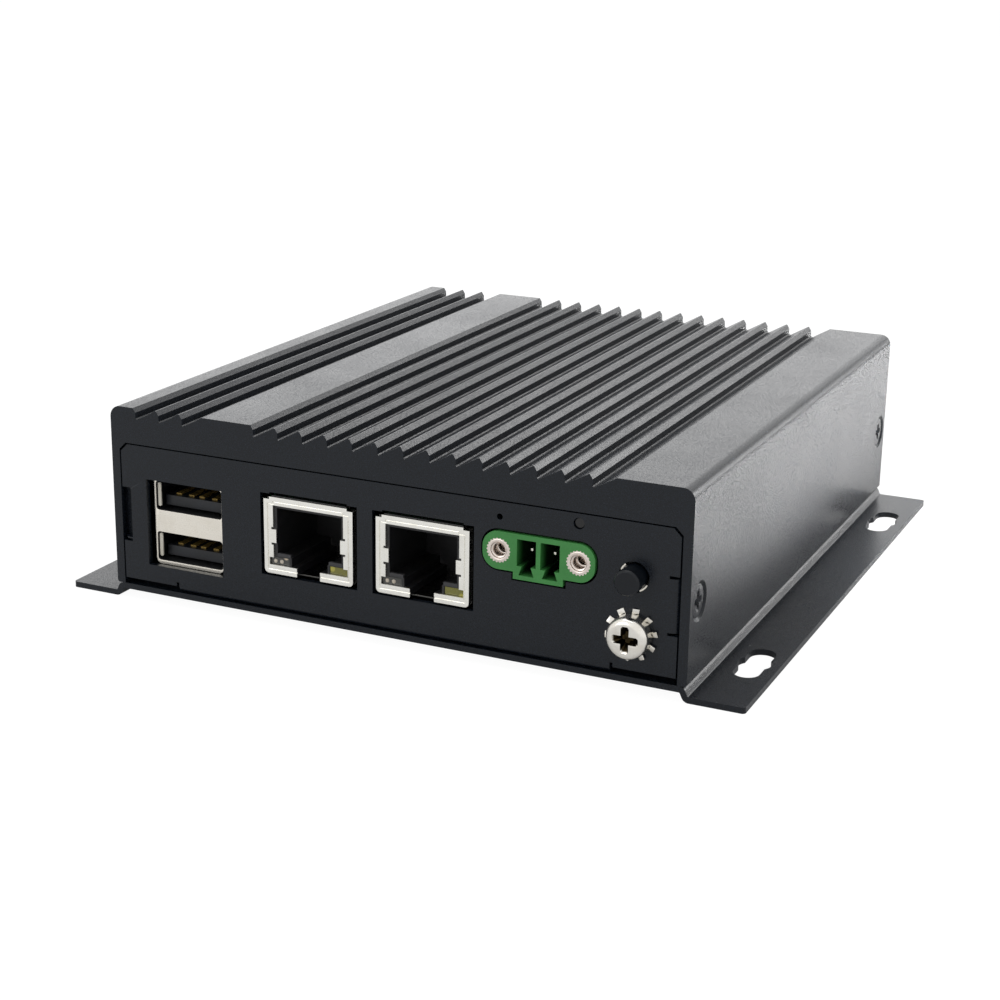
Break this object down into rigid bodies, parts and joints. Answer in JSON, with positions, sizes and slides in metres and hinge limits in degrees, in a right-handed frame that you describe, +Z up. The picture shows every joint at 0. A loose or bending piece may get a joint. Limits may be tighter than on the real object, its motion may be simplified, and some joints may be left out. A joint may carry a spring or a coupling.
{
  "type": "fanless industrial pc",
  "caption": "Slim fanless industrial computer: black finned aluminium housing on a slotted mounting plate, with a front panel of connectors, a push button and a ground screw.",
  "frame": {"origin": "centre of the four mounting slots, on the plane that the two feet stand on", "axes": "+Z up, +X to the right seen from the connector panel, which faces -Y"},
  "size_m": [0.1204, 0.1183, 0.0334],
  "materials": {
    "coated_aluminium": "black satin, fine texture",
    "coated_steel": "black satin, fine texture",
    "black_screw_steel": "black oxide",
    "zinc_plated_steel": "bright zinc plated",
    "circuit_board": "green solder mask",
    "chip_black": "moulded, matt",
    "connector_black": "moulded, matt",
    "thermal_pad": "soft silicone",
    "nickel_plated_shell": "nickel plated",
    "connector_cream": "moulded, matt",
    "gold_contact": "gold plated",
    "terminal_green": "moulded, satin",
    "button_black": "moulded, matt",
    "light_clear": "clear lens",
    "light_amber": "tinted lens"
  },
  "bodies": {
    "computer": {"activity_lights": "light_amber", "base_screws": "black_screw_steel", "board_holders": "connector_black", "button_switch": "chip_black", "capacitors": "chip_black", "cell_holder": "connector_black", "chassis": "coated_steel", "coin_cell": "nickel_plated_shell", "ground_nut": "zinc_plated_steel", "ground_screw": "zinc_plated_steel", "ground_washer": "zinc_plated_steel", "guide_light": "light_clear", "header_inserts": "gold_contact", "housing": "coated_aluminium", "inductors": "chip_black", "left_jack_contacts": "gold_contact", "left_jack_insert": "connector_black", "left_jack_shield": "nickel_plated_shell", "link_lights": "light_clear", "mainboard": "circuit_board", "memory_chips": "chip_black", "memory_module": "circuit_board", "memory_socket": "connector_black", "mounting_plate": "coated_steel", "power_header": "terminal_green", "power_pins": "gold_contact", "processor": "chip_black", "right_jack_contacts": "gold_contact", "right_jack_insert": "connector_black", "right_jack_shield": "nickel_plated_shell", "side_screws": "black_screw_steel", "small_light": "light_clear", "storage_card": "circuit_board", "storage_clip": "connector_black", "storage_socket": "connector_black", "thermal_pad": "thermal_pad", "usb_contacts": "gold_contact", "usb_insulator": "connector_cream", "usb_shell": "nickel_plated_shell"},
    "button": {"push_button": "button_black"}
  },
  "joints": [
    {"name": "button_press", "type": "slide", "parent": "computer", "child": "button", "axis": [0, 1, 0], "range_m": [0, 0.0005], "stiffness_N_per_m": 400}
  ]
}
